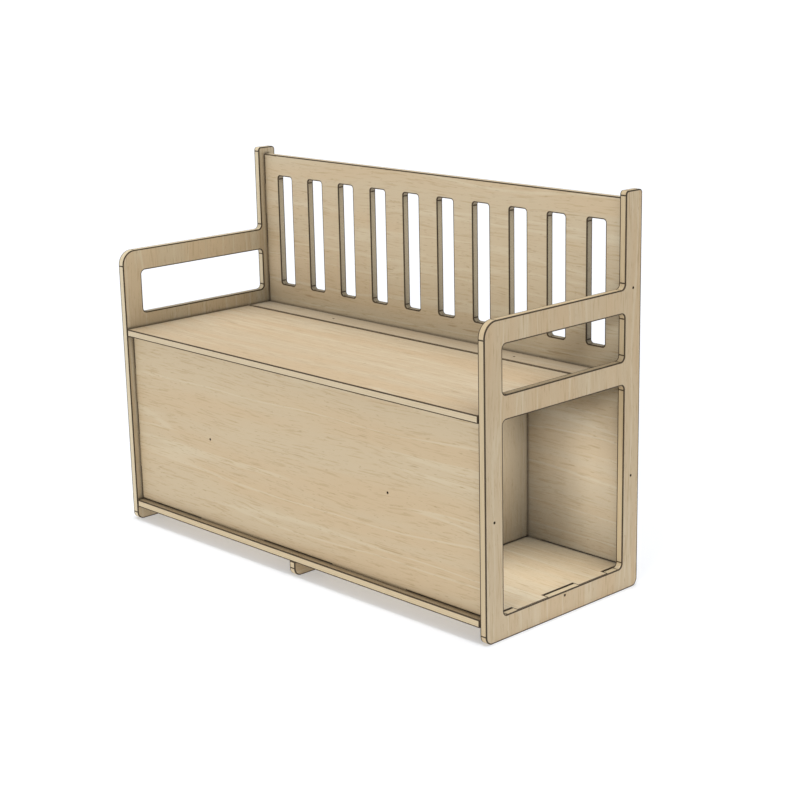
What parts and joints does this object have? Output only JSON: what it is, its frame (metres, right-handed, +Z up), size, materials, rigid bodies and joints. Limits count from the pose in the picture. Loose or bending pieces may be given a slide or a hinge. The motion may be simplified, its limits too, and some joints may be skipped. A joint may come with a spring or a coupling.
{
  "type": "toddler bench",
  "caption": "Low child's bench of thin tabbed boards with a slotted back, open arms, a lift-up seat lid over a storage bin and an open cubby at each end.",
  "frame": {"origin": "middle of the bench's footprint, on the ground", "axes": "+X to the right along the bench as seen from the front, +Y towards the back, +Z up"},
  "size_m": [0.889, 0.3556, 0.6477],
  "materials": {
    "birch_plywood": "sanded and clear sealed, satin",
    "bronze_hinge": "antique bronze plating",
    "screw_steel": "dark phosphate coating"
  },
  "bodies": {
    "frame": {"left_side_panel": "birch_plywood", "right_side_panel": "birch_plywood", "floor_panel": "birch_plywood", "front_panel": "birch_plywood", "lower_back_panel": "birch_plywood", "upper_back_panel": "birch_plywood", "left_divider": "birch_plywood", "right_divider": "birch_plywood", "center_foot": "birch_plywood", "seat_rail": "birch_plywood", "hinge_rail_leaf": "bronze_hinge", "hinge_pin": "bronze_hinge", "hinge_rail_screws": "screw_steel", "left_side_screws": "screw_steel", "right_side_screws": "screw_steel", "front_panel_screws": "screw_steel", "lower_back_screws": "screw_steel", "seat_rail_screws": "screw_steel", "floor_screws": "screw_steel"},
    "lid": {"seat_lid": "birch_plywood", "hinge_lid_leaf": "bronze_hinge", "hinge_lid_screws": "screw_steel"}
  },
  "joints": [
    {"name": "lid_hinge", "type": "hinge", "parent": "frame", "child": "lid", "pos_m": [0, 0.1016, 0.354], "axis": [-1, 0, 0], "range_deg": [0, 100]}
  ]
}
